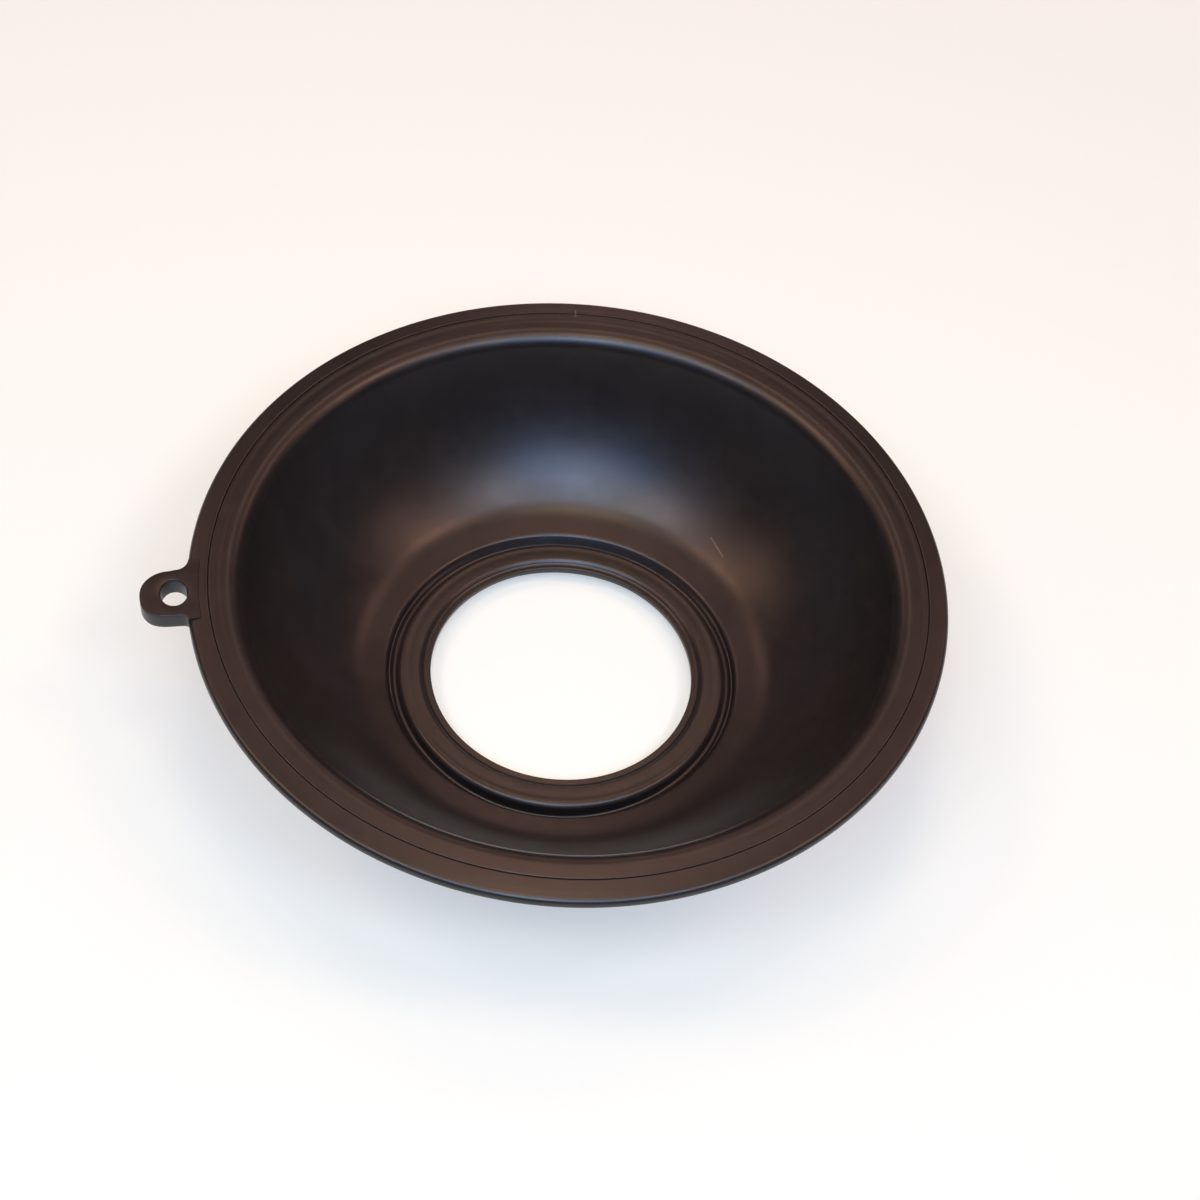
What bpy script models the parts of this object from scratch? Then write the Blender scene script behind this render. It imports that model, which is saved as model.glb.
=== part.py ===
"""Carburettor slide diaphragm: one moulded rubber piece.

A flat clamping flange with a locating ear, a deep dished membrane below it,
and a beaded ring round the central opening at the bottom.
Metres, +Z up. The piece stands on the underside of its inner bead, on z = 0.
The ear points along -X. The origin is under the middle of the bounding box,
so the axis of the turned form stands AXIS_X to the right of it.
"""

from math import acos, atan2, cos, hypot, pi, radians, sin, sqrt

import bmesh
import bpy
from mathutils import Vector

MM = 0.001

# ---- driving dimensions, in millimetres ------------------------------------
HEIGHT = 18.4            # underside of the inner bead to the flange's top face

RIM_R = 36.0             # outer radius of the flange
RIM_T = 1.6              # thickness of the flange at its rim
RIM_EDGE = 0.45          # rounding of the rim's two edges
GROOVE_R = 34.1          # fine ring groove in the flange's top face
GROOVE_W = 0.36
GROOVE_DEPTH = 0.14
LAND_IN_R = 33.3         # the underside land that seals, inner end
WEB_T = 1.1              # flange thickness inside that land

FILLET = 1.8             # rounding from the flange's top face into the membrane
FILLET_R = 32.45         # radius at which that rounding starts
WALL_STEEP = 76.0        # slope of the membrane just under the flange, degrees
FLOOR_OUT_R = 20.25      # crease between membrane and floor ring
FLOOR_OUT_D = 15.32      # its depth under the flange's top face
WALL_T = 0.75            # membrane thickness

FLOOR_IN_R = 17.6        # inner edge of the floor ring
FLOOR_IN_D = 16.0
MOAT_IN_R = 16.35        # moat between floor ring and inner bead
MOAT_OUT_R = 16.85       # its bottom's outer end; the outer wall leans
MOAT_D = 17.15

BEAD_D = 15.9            # top face of the inner bead, depth under the flange's top
BEAD_EDGE = 0.6
BEAD_IN_R = 14.2
BEAD_IN_EDGE = 0.4
LIP_R = 13.85            # lip inside the bead, a small step lower
LIP_D = 16.26
LIP_BOTTOM_D = 16.9
HOLE_R = 13.2            # central opening
FOOT_IN_R = 14.2         # underside of the bead, on which the piece stands
FOOT_OUT_R = 18.1
FOOT_TOP_D = 16.98       # where the foot meets the underside of the floor ring

EAR_REACH = 40.32        # axis to the ear's tip
EAR_R = 2.75             # rounded end of the ear
EAR_T = 2.0              # thickness of the ear
EAR_ROOT = 1.2           # rounding where the ear leaves the rim
EAR_EDGE = 0.45          # rounding of the ear's lower edge
EAR_INNER_R = 34.75      # how far the ear runs into the flange
EAR_SINK = 0.04          # ear's top face below the flange's
EAR_HOLE_X = 37.15       # axis to the middle of the ear's eye
EAR_HOLE_RADIAL = 1.28   # half of the eye's width along the radius
EAR_HOLE_ACROSS = 1.52   # and across it

STEPS = 80               # segments round the axis
AXIS_X = (EAR_REACH - RIM_R) / 2


# ---- helpers -----------------------------------------------------------------
def arc(cx, cz, radius, start, end, count):
    """Points on a circle arc in the profile plane; angles in degrees from +X towards +Z."""
    return [
        (
            cx + radius * cos(radians(start + (end - start) * i / count)),
            cz + radius * sin(radians(start + (end - start) * i / count)),
        )
        for i in range(count + 1)
    ]


def membrane_arc():
    """Centre, radius and lower slope of the arc that the membrane's inner face follows."""
    s0 = radians(WALL_STEEP)
    x0 = FILLET_R - FILLET * sin(s0)
    z0 = -FILLET + FILLET * cos(s0)
    dr, dz = x0 - FLOOR_OUT_R, z0 + FLOOR_OUT_D
    s1 = 2 * atan2(dz, dr) - s0
    radius = dr / (sin(s0) - sin(s1))
    return x0 - radius * sin(s0), z0 + radius * cos(s0), radius, s0, s1


def turned_profile():
    """Closed outline of the cross-section, millimetres, z from the flange's top face.

    It starts on the top face at the rim and runs down the outer side.
    """
    cx, cz, radius, s0, s1 = membrane_arc()
    points = []
    # rim: upper edge, lower edge
    points += arc(RIM_R - RIM_EDGE, -RIM_EDGE, RIM_EDGE, 90, 0, 3)
    points += arc(RIM_R - RIM_EDGE, -RIM_T + RIM_EDGE, RIM_EDGE, 0, -90, 3)
    # underside land and the step up to the thinner web
    points += [(LAND_IN_R, -RIM_T), (LAND_IN_R - 0.45, -WEB_T)]
    # outer face of the membrane, one wall thickness off the inner face
    outer = radius + WALL_T
    start = -90 + WALL_STEEP
    end = -90 + s1 * 180 / pi
    top = [(x, z) for x, z in arc(cx, cz, outer, start, end, 9)]
    points += [(top[0][0] + 0.12, -WEB_T)]
    points += [p for p in top if p[1] < -WEB_T - 0.25]
    # foot
    points += [
        (FOOT_OUT_R + 0.50, -FOOT_TOP_D),
        (FOOT_OUT_R + 0.26, -FOOT_TOP_D - 0.35),
        (FOOT_OUT_R + 0.12, -HEIGHT + 0.35),
        (FOOT_OUT_R - 0.13, -HEIGHT),
    ]
    points += [(FOOT_IN_R, -HEIGHT), (FOOT_IN_R - 0.3, -LIP_BOTTOM_D)]
    # lip and hole wall
    points += [(HOLE_R, -LIP_BOTTOM_D), (HOLE_R, -LIP_D)]
    # bead: inner step, top face, rounded outer edge
    points += [(LIP_R, -LIP_D)]
    points += arc(
        BEAD_IN_R + BEAD_IN_EDGE - 0.25, -BEAD_D - BEAD_IN_EDGE, BEAD_IN_EDGE, 165, 90, 2
    )
    points += arc(MOAT_IN_R - BEAD_EDGE, -BEAD_D - BEAD_EDGE, BEAD_EDGE, 90, 0, 3)
    # moat
    points += [(MOAT_IN_R, -MOAT_D), (MOAT_OUT_R, -MOAT_D)]
    # floor ring
    points += [
        (FLOOR_IN_R - 0.37, -FLOOR_IN_D - 0.50),
        (FLOOR_IN_R - 0.15, -FLOOR_IN_D - 0.14),
        (FLOOR_IN_R + 0.05, -FLOOR_IN_D),
    ]
    # inner face of the membrane, from the crease up to the flange
    points += arc(cx, cz, radius, end, start, 11)
    # rounding into the flange's top face
    points += arc(FILLET_R, -FILLET, FILLET, 180 - (90 - WALL_STEEP), 90, 4)[1:]
    # groove in the top face
    points += [
        (GROOVE_R - GROOVE_W / 2, 0.0),
        (GROOVE_R, -GROOVE_DEPTH),
        (GROOVE_R + GROOVE_W / 2, 0.0),
    ]
    return points


def ear_outline():
    """Outline of the ear seen from above, millimetres from the axis, ear along -X.

    Tip, straight sides and a root rounding on each side that meets the rim.
    """
    tip_x = EAR_REACH - EAR_R
    root_y = EAR_R + EAR_ROOT
    root_x = sqrt((RIM_R + EAR_ROOT) ** 2 - root_y**2)
    root_end = atan2(root_y, root_x)
    half = []
    # tip, from the far end round to the side
    for i in range(9):
        a = radians(90 * i / 8)
        half.append((tip_x + EAR_R * cos(a), EAR_R * sin(a)))
    # root rounding, turning from the side out to the rim
    for i in range(1, 5):
        a = -pi / 2 - (pi / 2 - root_end) * i / 4
        half.append((root_x + EAR_ROOT * cos(a), root_y + EAR_ROOT * sin(a)))
    # into the flange along the radius, then towards the middle at the inner radius
    half.append(((RIM_R - 0.8) * cos(root_end), (RIM_R - 0.8) * sin(root_end)))
    spread = root_end * 0.9
    for i in range(3):
        a = spread * (1 - i / 3)
        half.append((EAR_INNER_R * cos(a), EAR_INNER_R * sin(a)))
    mirrored = [(x, -y) for x, y in reversed(half[1:])]
    whole = half + [(EAR_INNER_R, 0.0)] + mirrored
    return [(-x, y) for x, y in whole]


def eye_outline(count=20):
    return [
        (
            -(EAR_HOLE_X + EAR_HOLE_RADIAL * cos(2 * pi * i / count)),
            EAR_HOLE_ACROSS * sin(2 * pi * i / count),
        )
        for i in range(count)
    ]


def add_material(obj, name, colour, roughness, metallic=0.0):
    material = bpy.data.materials.new(name)
    material.use_nodes = True
    shader = material.node_tree.nodes["Principled BSDF"]
    shader.inputs["Base Color"].default_value = (*colour, 1.0)
    shader.inputs["Roughness"].default_value = roughness
    shader.inputs["Metallic"].default_value = metallic
    material.diffuse_color = (*colour, 1.0)
    obj.data.materials.append(material)


# ---- scene -------------------------------------------------------------------
for existing in list(bpy.data.objects):
    bpy.data.objects.remove(existing, do_unlink=True)

parts = bpy.data.collections.new("slide_diaphragm")
tools = bpy.data.collections.new("cutters")
bpy.context.scene.collection.children.link(parts)
bpy.context.scene.collection.children.link(tools)


def make_turned():
    """The turned body: the closed profile swept once round the axis."""
    bm = bmesh.new()
    verts = [bm.verts.new((x * MM, 0.0, z * MM)) for x, z in turned_profile()]
    for a, b in zip(verts, verts[1:] + verts[:1]):
        bm.edges.new((a, b))
    mesh = bpy.data.meshes.new("diaphragm")
    bm.to_mesh(mesh)
    bm.free()
    obj = bpy.data.objects.new("diaphragm", mesh)
    parts.objects.link(obj)
    obj.location = (AXIS_X * MM, 0.0, HEIGHT * MM)
    screw = obj.modifiers.new("turn", "SCREW")
    screw.axis = "Z"
    screw.angle = 2 * pi
    screw.steps = STEPS
    screw.render_steps = STEPS
    screw.screw_offset = 0.0
    screw.use_merge_vertices = True
    screw.merge_threshold = 0.000001
    screw.use_smooth_shade = True
    return obj


def make_ear():
    """The ear with its eye: a flat outline with an inner outline, given its thickness."""
    curve = bpy.data.curves.new("ear_outline", "CURVE")
    curve.dimensions = "2D"
    curve.fill_mode = "BOTH"
    curve.extrude = (EAR_T - EAR_SINK) / 2 * MM
    for outline in (ear_outline(), eye_outline()):
        spline = curve.splines.new("POLY")
        spline.points.add(len(outline) - 1)
        for point, (x, y) in zip(spline.points, outline):
            point.co = (x * MM, y * MM, 0.0, 1.0)
        spline.use_cyclic_u = True
    guide = bpy.data.objects.new("ear_outline", curve)
    tools.objects.link(guide)
    guide.location = (AXIS_X * MM, 0.0, (HEIGHT - EAR_SINK) * MM - (EAR_T - EAR_SINK) / 2 * MM)
    bpy.context.view_layer.update()
    graph = bpy.context.evaluated_depsgraph_get()
    mesh = bpy.data.meshes.new_from_object(guide.evaluated_get(graph))
    ear = bpy.data.objects.new("ear", mesh)
    ear.matrix_world = guide.matrix_world.copy()
    tools.objects.link(ear)
    bpy.data.objects.remove(guide, do_unlink=True)

    bm = bmesh.new()
    bm.from_mesh(mesh)
    bmesh.ops.remove_doubles(bm, verts=bm.verts, dist=0.000002)
    bmesh.ops.recalc_face_normals(bm, faces=bm.faces)
    # round the lower outer edge, from tip to root
    low = min(v.co.z for v in bm.verts)
    eye = Vector((-EAR_HOLE_X * MM, 0.0))
    edges = []
    for edge in bm.edges:
        if any(v.co.z > low + 1e-6 for v in edge.verts) or len(edge.link_faces) != 2:
            continue
        if edge.link_faces[0].normal.dot(edge.link_faces[1].normal) > 0.9:
            continue
        middle = (edge.verts[0].co + edge.verts[1].co) / 2
        outside = hypot(middle.x, middle.y) > (RIM_R - 0.4) * MM
        if outside and (middle.xy - eye).length > 1.8 * MM:
            edges.append(edge)
    bmesh.ops.bevel(
        bm,
        geom=edges,
        offset=EAR_EDGE * MM,
        segments=3,
        profile=0.5,
        affect="EDGES",
        clamp_overlap=True,
    )
    bm.to_mesh(mesh)
    bm.free()
    ear.hide_render = True
    ear.display_type = "WIRE"
    return ear


diaphragm = make_turned()
ear = make_ear()

join = diaphragm.modifiers.new("ear", "BOOLEAN")
join.operation = "UNION"
join.solver = "EXACT"
join.object = ear

add_material(diaphragm, "black_rubber", (0.022, 0.020, 0.020), 0.45)
diaphragm.data.shade_smooth()
diaphragm.data.set_sharp_from_angle(angle=radians(35))
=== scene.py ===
"""Looks for a moulded rubber slide diaphragm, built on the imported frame.

The turned body is swept from a finely drawn cross-section, the ear is joined
to it with a Boolean union, and the whole takes one procedural rubber material.
Lengths in the drawing functions are millimetres from the axis of the turned
form, with z = 0 on the flange's top face; the mesh itself is in metres.
"""

from math import atan2, cos, degrees, pi, radians, sin, sqrt

import bmesh
import bpy
import numpy as np
from mathutils import Matrix, Vector


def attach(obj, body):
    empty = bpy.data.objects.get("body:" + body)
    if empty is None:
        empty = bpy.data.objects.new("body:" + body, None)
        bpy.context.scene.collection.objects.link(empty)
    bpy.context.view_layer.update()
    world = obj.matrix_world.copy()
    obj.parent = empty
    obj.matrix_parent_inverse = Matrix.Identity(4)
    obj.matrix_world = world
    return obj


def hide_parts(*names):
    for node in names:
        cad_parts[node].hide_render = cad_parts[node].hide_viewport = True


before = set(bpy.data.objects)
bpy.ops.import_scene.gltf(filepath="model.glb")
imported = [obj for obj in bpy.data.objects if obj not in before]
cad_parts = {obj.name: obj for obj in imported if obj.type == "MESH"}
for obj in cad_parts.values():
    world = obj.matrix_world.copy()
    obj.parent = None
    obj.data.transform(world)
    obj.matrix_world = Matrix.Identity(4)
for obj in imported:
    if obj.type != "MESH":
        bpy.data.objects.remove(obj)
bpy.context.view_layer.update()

MM = 0.001
HEIGHT = 18.4
AXIS_X = 2.16
SWEEP = 280              # segments round the axis

RIM_R = 36.0
RIM_T = 1.6
WALL_T = 0.75

# camera, fitted to the outline, the groove and the central opening
CAM_F = 2269.48          # pixels, in a 1200-pixel frame
CAM_D = 215.0            # mm from the flange's centre
CAM_EL = 51.575
CAM_ROLL = 6.951
CAM_AX, CAM_AY = -27.964, -30.932
EAR_TURN = -13.2         # turns the fitted view so that the ear lies along -X


# ---- section drawing ---------------------------------------------------------
def arc(cx, cz, radius, start, end, step=None, count=None):
    """Points on an arc; angles in degrees from +X towards +Z; one point every `step` mm."""
    if count is None:
        count = max(2, int(np.ceil(abs(radians(end - start)) * radius / step)))
    return [
        (
            cx + radius * cos(radians(start + (end - start) * i / count)),
            cz + radius * sin(radians(start + (end - start) * i / count)),
        )
        for i in range(count + 1)
    ]


def line(p, q, count):
    """Points after p up to q, evenly spread."""
    return [
        (p[0] + (q[0] - p[0]) * i / count, p[1] + (q[1] - p[1]) * i / count)
        for i in range(1, count + 1)
    ]


WALL_STEEP = 76.0        # slope of the membrane just under the flange
CREASE_R, CREASE_D = 20.25, 15.32
NEAR = -90.0 + EAR_TURN  # azimuth of the side where the flange droops a little


def roll_off(near):
    """Rounding from the flange's flat into the membrane, from the membrane outwards.

    On the near side it starts a little further out.
    """
    r0, rho = 32.22 + 0.48 * near, 1.80 + 0.05 * near
    pts = []
    for k in range(33):
        a = radians(WALL_STEEP * (1 - k / 32))
        pts.append((r0 - rho * sin(a), -rho * (1 - cos(a))))
    return pts


def membrane(near):
    """Centre, radius and two slopes of the arc that the membrane's inner face follows."""
    x0, z0 = roll_off(near)[0]
    s0 = radians(WALL_STEEP)
    dr, dz = x0 - CREASE_R, z0 + CREASE_D
    s1 = 2 * atan2(dz, dr) - s0
    radius = dr / (sin(s0) - sin(s1))
    return x0 - radius * sin(s0), z0 + radius * cos(s0), radius, WALL_STEEP, degrees(s1)


def section(near):
    """The closed cross-section, from the flange's top face at the rim down the outer side.

    near runs from 0 on the far side to 1 on the near side.
    """
    cx, cz, radius, s0, s1 = membrane(near)
    outer = radius + WALL_T
    pts = []
    # rim: small upper edge, a chamfer, then a bullnose; it flares a little on the near side
    sag = 0.13 * near
    rim_far = (
        (35.70, -0.116), (35.75, -0.134), (35.80, -0.166), (35.85, -0.208), (35.90, -0.258),
        (35.94, -0.312), (35.97, -0.375), (35.99, -0.455), (36.005, -0.555), (36.01, -0.67),
        (36.01, -0.80), (36.00, -0.93), (35.99, -1.05), (35.98, -1.13),
    )
    rim_near = (
        (35.84, -0.268), (35.98, -0.318), (36.08, -0.382), (36.155, -0.450), (36.205, -0.522),
        (36.24, -0.600), (36.265, -0.685), (36.28, -0.77), (36.287, -0.85), (36.285, -0.93),
        (36.275, -1.01), (36.25, -1.09), (36.20, -1.17), (36.145, -1.22),
    )
    pts += [
        tuple(p[i] + near * (q[i] - p[i]) for i in (0, 1)) for p, q in zip(rim_far, rim_near)
    ]
    pts += arc(35.53 + 0.16 * near, -1.15, 0.45, -12 * near, -90, count=9)
    # underside land, step, web
    pts += line(pts[-1], (33.4, -1.6), 6)
    pts += [(33.3, -1.58), (33.22, -1.52), (33.0, -1.2), (32.92, -1.13), (32.82, -1.1)]
    zw = -1.1 - 0.55
    rw = cx + sqrt(outer**2 - (cz - zw) ** 2)
    pts += line(pts[-1], (rw + 0.42, -1.1), 3)
    pts += [(rw + 0.25, -1.13), (rw + 0.12, -1.21), (rw + 0.045, -1.35)]
    # outer face of the membrane
    a = degrees(atan2(zw - cz, rw - cx))
    outer_arc = arc(cx, cz, outer, a, -90 + s1, count=40)
    pts += outer_arc
    last = outer_arc[-1]
    # foot
    pts += line(last, (18.95, last[1] - (last[0] - 18.95) * 0.6), 3)
    pts += arc(18.78, -17.33, 0.42, 118, 180, count=5)
    pts += arc(17.87, -18.05, 0.35, 0, -90, count=7)
    pts += line(pts[-1], (14.5, -18.4), 8)
    pts += arc(14.5, -18.1, 0.3, -90, -168, count=5)
    pts += [(13.98, -16.98), (13.9, -16.9)]
    # lip and the wall of the opening
    inward = 0.2 * near
    pts += arc(13.28 - inward, -16.82, 0.08, -90, -180, count=4)
    pts += arc(13.36 - inward, -16.42, 0.16, 180, 84, count=7)
    pts += line(pts[-1], (13.66, -16.28), 3)
    pts += [(13.72, -16.27), (13.76, -16.24)]
    # bead, its inner edge a small chamfer between two roundings
    pts += arc(14.216, -16.404, 0.40, 150, 128, count=4)
    pts += arc(14.374, -16.280, 0.40, 128, 88, count=7)
    pts += [
        (14.7, -15.868),
        (15.0, -15.876),
        (15.25, -15.884),
        (15.45, -15.880),
        (15.60, -15.866),
        (15.70, -15.856),
    ]
    shift = 0.03 + 0.16 * near
    pts += arc(15.70 + shift, -16.456, 0.60, 86, 2, count=13)
    # moat, its outer wall leaning and a little bulged; deeper on the near side
    moat = [(16.37 + shift, -16.86)]
    moat += arc(16.64 + 0.6 * shift, -16.87, 0.27, 188, 300, count=6)
    moat += [(16.90, -17.02), (17.00, -16.87), (17.12, -16.67), (17.24, -16.47), (17.34, -16.31)]
    moat += [(17.42, -16.19), (17.49, -16.10), (17.57, -16.04)]
    deep = 0.88 + 0.37 * near
    moat = [(x, -16.04 + (z + 16.04) * deep) for x, z in moat]
    pts += line(pts[-1], moat[0], 3) + moat[1:]
    # floor ring, then a hollow rounding into the membrane's inner face
    tilt = atan2(-CREASE_D + 16.0, CREASE_R - 17.6)
    pts += [(17.68, -16.0 + 0.08 * np.tan(tilt))]
    reach = 1.25
    start = (CREASE_R - reach * cos(tilt), -CREASE_D - reach * sin(tilt))
    pts += line(pts[-1], start, 6)
    first = degrees(reach / radius)
    slope = radians(s1 + first)
    end = (cx + radius * sin(slope), cz - radius * cos(slope))
    pull = 0.36 * sqrt((end[0] - start[0]) ** 2 + (end[1] - start[1]) ** 2)
    bend = (
        start,
        (start[0] + pull * cos(tilt), start[1] + pull * sin(tilt)),
        (end[0] - pull * cos(slope), end[1] - pull * sin(slope)),
        end,
    )
    for k in range(1, 13):
        t = k / 12
        share = ((1 - t) ** 3, 3 * t * (1 - t) ** 2, 3 * t * t * (1 - t), t**3)
        pts.append(tuple(sum(w * p[i] for w, p in zip(share, bend)) for i in (0, 1)))
    # inner face of the membrane, up to the flange
    pts += arc(cx, cz, radius, -90 + s1 + first, -90 + s0, count=52)[1:]
    pts += roll_off(near)[1:]
    # top face: falls a little outwards, with the ring groove between two faint lips
    lip = 1 - 0.75 * near
    tail = pts[-1]
    pts += line(tail, (32.85, -0.003), 3)
    ring = (
        (33.00, 0.006, 0.020),
        (33.14, 0.010, 0.034),
        (33.28, 0.012, 0.040),
        (33.42, 0.016, 0.036),
        (33.54, 0.022, 0.022),
        (33.66, 0.028, 0.004),
        (33.78, 0.033, -0.012),
        (33.90, 0.038, -0.020),
        (34.00, 0.042, -0.020),
        (34.07, 0.045, -0.016),
        (34.11, 0.056, -0.004),
        (34.132, 0.110, 0.0),
        (34.15, 0.250, 0.0),
        (34.18, 0.250, 0.0),
        (34.198, 0.110, 0.0),
        (34.22, 0.058, -0.004),
        (34.26, 0.050, -0.014),
        (34.34, 0.052, -0.018),
        (34.44, 0.055, -0.018),
        (34.56, 0.060, -0.016),
        (34.70, 0.066, -0.008),
        (34.88, 0.074, 0.0),
        (35.08, 0.084, 0.0),
        (35.30, 0.094, 0.0),
        (35.48, 0.102, 0.0),
        (35.62, 0.109, 0.0),
    )
    for x, fall, ripple in ring:
        z = -fall - ripple * lip - sag * min(max((x - 33.0) / 2.7, 0.0), 1.0)
        x += (0.03 - 0.19 * near) * np.exp(-(((x - 34.17) / 0.4) ** 2))
        if x > 35.4:
            z -= 0.014 * near
        pts.append((x, z))
    return pts


def turned_body():
    far, near = (np.array(section(v)) for v in (0.0, 1.0))
    angles = np.linspace(0, 2 * pi, SWEEP, endpoint=False)
    share = 0.5 + 0.5 * np.cos(angles - radians(NEAR))
    # the rim flares and the moat deepens only close to the near side; at the sides it is shallow
    power = np.where(far[:, 0] > 35.65, 3.0, 1.0)
    moat = (far[:, 0] > 16.3) & (far[:, 0] < 17.6) & (far[:, 1] < -16.5) & (far[:, 1] > -17.3)
    sink = np.where(moat, 3.0, 1.0)
    r = far[None, :, 0] + share[:, None] ** power[None, :] * (near - far)[None, :, 0]
    z = far[None, :, 1] + share[:, None] ** sink[None, :] * (near - far)[None, :, 1]
    flat = 1 - 0.22 * np.sin(angles - radians(NEAR))[:, None] ** 2
    z = np.where(moat[None, :], -16.04 + (z + 16.04) * flat, z)
    n = len(far)
    co = np.empty((SWEEP, n, 3))
    co[:, :, 0] = r * np.cos(angles)[:, None]
    co[:, :, 1] = r * np.sin(angles)[:, None]
    co[:, :, 2] = z
    i, j = np.meshgrid(np.arange(SWEEP), np.arange(n), indexing="ij")
    i2, j2 = (i + 1) % SWEEP, (j + 1) % n
    faces = np.stack(
        [i * n + j, i * n + j2, i2 * n + j2, i2 * n + j], axis=-1
    ).reshape(-1, 4)
    mesh = bpy.data.meshes.new("diaphragm_body")
    mesh.from_pydata(to_row(co.reshape(-1, 3)).tolist(), [], faces.tolist())
    mesh.update()
    obj = bpy.data.objects.new("diaphragm_body", mesh)
    bpy.context.scene.collection.objects.link(obj)
    print("section points", n, "faces", len(faces) * 2)
    return obj


def to_row(co):
    """Drawing coordinates in millimetres to row-frame metres."""
    co = np.array(co, float).reshape(-1, 3)
    return (co + np.array([AXIS_X, 0.0, HEIGHT])) * MM


# ---- ear -----------------------------------------------------------------------
def ear_outline(inset=0.0):
    """Ear seen from above as (u, v): u from the axis along -X, v towards -Y (the nearer side)."""
    cu = 37.57
    a = 2.75
    out = []
    # nearer side: root, side and a squarer corner
    fr = 0.55
    b = 2.72
    fu = sqrt((RIM_R + fr) ** 2 - (b + fr) ** 2)
    ang = atan2(b + fr, fu)
    for k in range(9):
        t = (pi + ang) + (1.5 * pi - (pi + ang)) * k / 8
        out.append((fu + fr * cos(t), b + fr + fr * sin(t)))
    for k in range(1, 33):
        t = pi / 2 * (1 - k / 32)
        ex = 2 / 2.65
        out.append((cu + a * cos(t) ** ex, b * sin(t) ** ex))
    # further side: rounder corner and a longer root
    b = 2.62
    for k in range(1, 33):
        t = pi / 2 * k / 32
        out.append((cu + a * cos(t), -b * sin(t)))
    fr = 1.25
    fu = sqrt((RIM_R + fr) ** 2 - (b + 0.1 + fr) ** 2)
    ang = atan2(b + 0.1 + fr, fu)
    for k in range(13):
        t = pi / 2 + (pi - ang - pi / 2) * k / 12
        out.append((fu + fr * cos(t), -(b + 0.1 + fr) + fr * sin(t)))
    return out


def resample(points, step):
    p = np.array(points)
    d = np.r_[0, np.cumsum(np.linalg.norm(np.diff(p, axis=0), axis=1))]
    keep = np.r_[True, np.diff(d) > 1e-5]
    p, d = p[keep], d[keep]
    n = int(np.ceil(d[-1] / step))
    s = np.linspace(0, d[-1], n + 1)
    return np.c_[np.interp(s, d, p[:, 0]), np.interp(s, d, p[:, 1])]


def offset(points, amount):
    """Moves an open chain sideways, to its right, by amount."""
    p = np.array(points)
    t = np.gradient(p, axis=0)
    t /= np.linalg.norm(t, axis=1)[:, None]
    return p + amount * np.c_[t[:, 1], -t[:, 0]]


def ear_solid():
    """The ear with its eye, lofted from loops of one outline, so that its edges are round."""
    top, low = -0.008, -2.0
    edge_top, edge_low = 0.12, 0.5
    chain = resample(ear_outline(), 0.11)
    layers = []
    for k in range(5):
        t = pi / 2 * k / 4
        layers.append((edge_top * (1 - sin(t)), top - edge_top * (1 - cos(t))))
    for k in range(7):
        t = pi / 2 * k / 6
        layers.append((edge_low * (1 - cos(t)), low + edge_low * (1 - sin(t))))
    loops = []
    for inset, z in layers:
        side = offset(chain, inset)
        # close the loop inside the flange
        a0, a1 = atan2(side[0][1], side[0][0]), atan2(side[-1][1], side[-1][0])
        inner = [(34.95 * cos(a1 + (a0 - a1) * t), 34.95 * sin(a1 + (a0 - a1) * t)) for t in np.linspace(0, 1, 13)]
        loops.append((np.vstack([side, inner]), z))
    hole_layers = []
    eu, ru, rv = 37.17, 1.27, 1.53
    er = 0.1
    n_hole = 72
    for k in range(4):
        t = pi / 2 * k / 3
        hole_layers.append((er * (1 - sin(t)), top - er * (1 - cos(t))))
    for k in range(4):
        t = pi / 2 * k / 3
        hole_layers.append((er * (1 - cos(t)), low + er * (1 - sin(t))))

    bm = bmesh.new()

    def put(u, v, z):
        x, y, zz = to_row([(-u, -v, z)])[0]
        return bm.verts.new((x, y, zz))

    rings = [[put(u, v, z) for u, v in loop] for loop, z in loops]
    for r0, r1 in zip(rings, rings[1:]):
        n = len(r0)
        for k in range(n):
            bm.faces.new((r0[k], r0[(k + 1) % n], r1[(k + 1) % n], r1[k]))
    holes = []
    for grow, z in hole_layers:
        holes.append(
            [
                put(
                    eu + (ru + grow) * cos(2 * pi * k / n_hole),
                    (rv + grow) * sin(2 * pi * k / n_hole),
                    z,
                )
                for k in range(n_hole)
            ]
        )
    for r0, r1 in zip(holes, holes[1:]):
        for k in range(n_hole):
            bm.faces.new((r0[k], r1[k], r1[(k + 1) % n_hole], r0[(k + 1) % n_hole]))
    # caps between outline and eye, top and bottom
    for ring, hole in ((rings[0], holes[0]), (rings[-1], holes[-1])):
        edges = []
        for loop in (ring, hole):
            for k in range(len(loop)):
                e = bm.edges.get((loop[k], loop[(k + 1) % len(loop)]))
                edges.append(e)
        bmesh.ops.triangle_fill(bm, use_beauty=True, use_dissolve=False, edges=edges)
    bmesh.ops.recalc_face_normals(bm, faces=bm.faces)
    mesh = bpy.data.meshes.new("diaphragm_ear")
    bm.to_mesh(mesh)
    bm.free()
    obj = bpy.data.objects.new("diaphragm_ear", mesh)
    bpy.context.scene.collection.objects.link(obj)
    return obj


def joined(body, ear):
    """Boolean union, applied, as one new mesh object."""
    mod = body.modifiers.new("join", "BOOLEAN")
    mod.operation = "UNION"
    mod.solver = "EXACT"
    mod.object = ear
    bpy.context.view_layer.update()
    graph = bpy.context.evaluated_depsgraph_get()
    mesh = bpy.data.meshes.new_from_object(body.evaluated_get(graph))
    mesh.name = "diaphragm_rubber"
    piece = bpy.data.objects.new("diaphragm_rubber", mesh)
    bpy.context.scene.collection.objects.link(piece)
    bpy.data.objects.remove(body, do_unlink=True)
    bpy.data.objects.remove(ear, do_unlink=True)
    return piece


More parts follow.
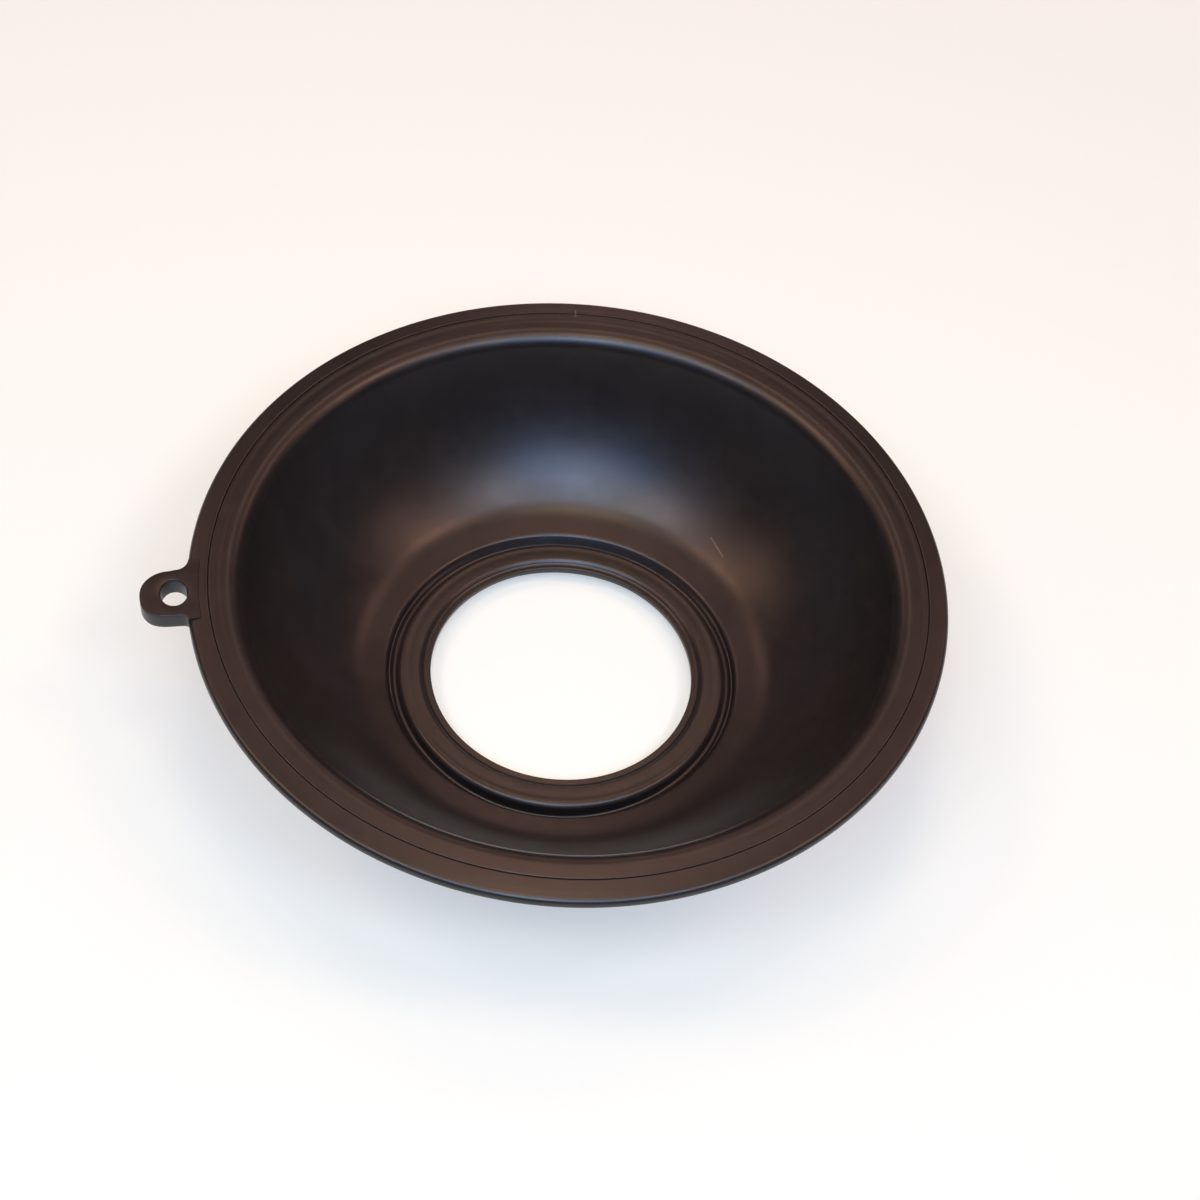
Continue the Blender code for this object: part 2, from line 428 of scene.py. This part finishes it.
# ---- material ----------------------------------------------------------------
def rubber():
    mat = bpy.data.materials.new("black_rubber")
    mat.use_nodes = True
    tree = mat.node_tree
    nodes, links = tree.nodes, tree.links
    shader = nodes["Principled BSDF"]
    shader.inputs["IOR"].default_value = 1.52
    coords = nodes.new("ShaderNodeTexCoord")

    def noise(scale, detail, rough=0.55, distortion=0.0):
        n = nodes.new("ShaderNodeTexNoise")
        n.inputs["Scale"].default_value = scale
        n.inputs["Detail"].default_value = detail
        n.inputs["Roughness"].default_value = rough
        n.inputs["Distortion"].default_value = distortion
        links.new(coords.outputs["Object"], n.inputs["Vector"])
        return n

    def remap(socket, lo, hi, to_lo, to_hi):
        m = nodes.new("ShaderNodeMapRange")
        m.inputs["From Min"].default_value = lo
        m.inputs["From Max"].default_value = hi
        m.inputs["To Min"].default_value = to_lo
        m.inputs["To Max"].default_value = to_hi
        links.new(socket, m.inputs["Value"])
        return m.outputs["Result"]

    def maths(op, a, b):
        m = nodes.new("ShaderNodeMath")
        m.operation = op
        for k, v in enumerate((a, b)):
            if isinstance(v, (int, float)):
                m.inputs[k].default_value = v
            else:
                links.new(v, m.inputs[k])
        return m.outputs["Value"]

    cloud = noise(110.0, 3.0)
    mottle = noise(620.0, 4.0, 0.6)
    grain = noise(5200.0, 3.0, 0.6)
    film = noise(240.0, 5.0, 0.62, 0.6)

    ramp = nodes.new("ShaderNodeValToRGB")
    ramp.color_ramp.elements[0].position = 0.32
    ramp.color_ramp.elements[0].color = (0.0078, 0.0074, 0.0076, 1)
    ramp.color_ramp.elements[1].position = 0.72
    ramp.color_ramp.elements[1].color = (0.0135, 0.0120, 0.0114, 1)
    links.new(film.outputs["Fac"], ramp.inputs["Fac"])

    rough = maths(
        "ADD",
        remap(cloud.outputs["Fac"], 0.3, 0.7, 0.335, 0.365),
        remap(mottle.outputs["Fac"], 0.3, 0.7, -0.02, 0.03),
    )
    links.new(rough, shader.inputs["Roughness"])

    height = maths(
        "ADD",
        maths("MULTIPLY", grain.outputs["Fac"], 0.35),
        maths("MULTIPLY", mottle.outputs["Fac"], 0.65),
    )
    # pale marks: a fine scratch on the membrane, a nick across the groove, a few specks of dust
    def vector(op, a, b):
        n = nodes.new("ShaderNodeVectorMath")
        n.operation = op
        for k, v in enumerate((a, b)):
            if isinstance(v, tuple):
                n.inputs[k].default_value = v
            else:
                links.new(v, n.inputs[k])
        return n

    def streak(start, end, width):
        """Mask that is 1 on a line between two points in row-frame millimetres."""
        p, q = (Vector(v) * MM for v in (start, end))
        along = q - p
        away = vector("SUBTRACT", coords.outputs["Object"], tuple(p)).outputs["Vector"]
        part = maths(
            "DIVIDE", vector("DOT_PRODUCT", away, tuple(along)).outputs["Value"], along.length_squared
        )
        part = remap(part, 0.0, 1.0, 0.0, 1.0)
        foot = nodes.new("ShaderNodeVectorMath")
        foot.operation = "SCALE"
        foot.inputs[0].default_value = tuple(along)
        links.new(part, foot.inputs["Scale"])
        gap = vector("DISTANCE", away, foot.outputs["Vector"]).outputs["Value"]
        return remap(gap, 0.25 * width * MM, width * MM, 1.0, 0.0)

    mark = maths(
        "MULTIPLY",
        maths(
            "ADD",
            streak((19.54, 14.10, 4.55), (20.00, 12.96, 4.30), 0.13),
            streak((20.05, 12.90, 4.29), (20.46, 11.82, 4.09), 0.10),
        ),
        remap(mottle.outputs["Fac"], 0.35, 0.6, 0.45, 1.0),
    )
    nick = streak((6.935, 34.33, 18.36), (6.82, 33.48, 18.36), 0.11)
    cells = nodes.new("ShaderNodeTexVoronoi")
    cells.inputs["Scale"].default_value = 210.0
    links.new(coords.outputs["Object"], cells.inputs["Vector"])
    pick = nodes.new("ShaderNodeSeparateColor")
    links.new(cells.outputs["Color"], pick.inputs["Color"])
    dust = maths(
        "MULTIPLY",
        remap(cells.outputs["Distance"], 0.012, 0.026, 1.0, 0.0),
        remap(pick.outputs["Red"], 0.80, 0.86, 0.0, 1.0),
    )
    pale = maths("MINIMUM", maths("ADD", maths("ADD", mark, nick), maths("MULTIPLY", dust, 0.5)), 1.0)
    blend = nodes.new("ShaderNodeMix")
    blend.data_type = "RGBA"
    colour_in = {k.name: k for k in blend.inputs if k.type == "RGBA"}
    links.new(ramp.outputs["Color"], colour_in["A"])
    colour_in["B"].default_value = (0.105, 0.085, 0.070, 1)
    links.new(pale, blend.inputs["Factor"])
    links.new(
        [k for k in blend.outputs if k.type == "RGBA"][0], shader.inputs["Base Color"]
    )

    bump = nodes.new("ShaderNodeBump")
    bump.inputs["Strength"].default_value = 0.35
    bump.inputs["Distance"].default_value = 0.00003
    links.new(height, bump.inputs["Height"])
    links.new(bump.outputs["Normal"], shader.inputs["Normal"])
    return mat


# ---- build ---------------------------------------------------------------------
piece = joined(turned_body(), ear_solid())
piece.data.materials.clear()
piece.data.materials.append(rubber())
piece.data.shade_smooth()
piece.data.set_sharp_from_angle(angle=radians(40))
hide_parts("diaphragm")
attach(piece, "root")


# ---- camera ----------------------------------------------------------------------
def camera_axes():
    el, roll = radians(CAM_EL), radians(CAM_ROLL)
    back = Vector((0, -cos(el), sin(el)))
    right = Vector((1, 0, 0))
    up = back.cross(right)
    r = right * cos(roll) + up * sin(roll)
    u = -right * sin(roll) + up * cos(roll)
    ray = Vector((CAM_AX / CAM_F, -CAM_AY / CAM_F, -1)).normalized()
    place = (r * -ray.x + u * -ray.y + back * -ray.z) * CAM_D
    turn = Matrix.Rotation(radians(EAR_TURN), 3, "Z")
    return turn @ r, turn @ u, turn @ back, turn @ place


r, u, back, place = camera_axes()
cam_data = bpy.data.cameras.new("camera")
cam_data.sensor_fit = "HORIZONTAL"
cam_data.sensor_width = 36.0
cam_data.lens = 36.0 * CAM_F / 1200.0
cam_data.clip_start = 0.01
cam_data.clip_end = 20.0
camera = bpy.data.objects.new("camera", cam_data)
bpy.context.scene.collection.objects.link(camera)
target = Vector((AXIS_X * MM, 0.0, HEIGHT * MM))
world = Matrix((r, u, back)).transposed().to_4x4()
world.translation = target + place * MM
camera.matrix_world = world
bpy.context.scene.camera = camera


# ---- floor, light ------------------------------------------------------------------
def area(name, azimuth, elevation, distance, size, power, colour, size_y=None, aim=None):
    """Azimuth is turned from the camera's, positive to the viewer's right."""
    light = bpy.data.lights.new(name, "AREA")
    light.shape = "RECTANGLE" if size_y else "DISK"
    light.size = size
    if size_y:
        light.size_y = size_y
    light.energy = power
    light.color = colour
    obj = bpy.data.objects.new(name, light)
    a = radians(-90 + EAR_TURN + azimuth)
    e = radians(elevation)
    direction = Vector((cos(a) * cos(e), sin(a) * cos(e), sin(e)))
    aim = aim or Vector((AXIS_X * MM, 0.0, 0.5 * HEIGHT * MM))
    obj.location = aim + direction * distance
    obj.rotation_mode = "QUATERNION"
    obj.rotation_quaternion = (-direction).to_track_quat("-Z", "Y")
    bpy.context.scene.collection.objects.link(obj)
    return obj


# soft boxes: cool ones on the viewer's side, warm ones at the sides, above and behind
FAR, CLOSE = (0.6, 0.16), (0.2, 0.06)
BOXES = (
    ("cool_front", 0, 50, FAR, (0.433, 0.530, 0.797)),
    ("cool_front_close", 0, 62, CLOSE, (0.0341, 0.0518, 0.0674)),
    ("cool_left", -45, 55, FAR, (0.633, 0.528, 0.570)),
    ("cool_right", 45, 55, FAR, (0.598, 0.596, 0.645)),
    ("front_left", -20, 60, FAR, (0.212, 0.157, 0.0)),
    ("front_right", 20, 60, FAR, (0.091, 0.0, 0.0)),
    ("front_left_low", -20, 45, FAR, (0.0, 0.117, 0.333)),
    ("front_right_low", 20, 45, FAR, (0.149, 0.280, 0.579)),
    ("warm_left", -90, 55, FAR, (0.682, 0.364, 0.216)),
    ("warm_right", 90, 55, FAR, (0.737, 0.383, 0.251)),
    ("warm_left_low", -90, 35, FAR, (0.216, 0.118, 0.078)),
    ("warm_right_low", 90, 35, FAR, (0.153, 0.086, 0.069)),
    ("warm_top", 0, 86, CLOSE, (0.0732, 0.0468, 0.0275)),
    ("back_top", 180, 70, FAR, (0.180, 0.075, 0.056)),
    ("back_high", 180, 60, FAR, (0.225, 0.140, 0.100)),
    ("back_low", 180, 30, FAR, (0.165, 0.090, 0.072)),
    ("back_left", -135, 45, FAR, (0.242, 0.122, 0.095)),
    ("back_right", 135, 45, FAR, (0.268, 0.129, 0.094)),
)
for name, azimuth, elevation, (distance, size), rgb in BOXES:
    strength = max(rgb)
    area(name, azimuth, elevation, distance, size, strength, tuple(v / strength for v in rgb))

bm = bmesh.new()
bmesh.ops.create_grid(bm, x_segments=2, y_segments=2, size=2.5)
floor_mesh = bpy.data.meshes.new("floor")
bm.to_mesh(floor_mesh)
bm.free()
floor = bpy.data.objects.new("floor", floor_mesh)
floor.location = (0, 0, -0.00002)
bpy.context.scene.collection.objects.link(floor)
floor_mat = bpy.data.materials.new("floor_white")
floor_mat.use_nodes = True
fs = floor_mat.node_tree.nodes["Principled BSDF"]
fs.inputs["Base Color"].default_value = (0.48, 0.58, 0.54, 1)
fs.inputs["Emission Color"].default_value = (1.0, 0.96, 0.94, 1)
fs.inputs["Emission Strength"].default_value = 0.42
fs.inputs["Roughness"].default_value = 0.9
fs.inputs["Specular IOR Level"].default_value = 0.1
floor_mesh.materials.append(floor_mat)

world_data = bpy.data.worlds.new("studio")
bpy.context.scene.world = world_data
world_data.use_nodes = True
bg = world_data.node_tree.nodes["Background"]
bg.inputs["Color"].default_value = (0.92, 0.95, 1.0, 1)
bg.inputs["Strength"].default_value = 0.02
bpy.context.scene.view_settings.view_transform = "Standard"
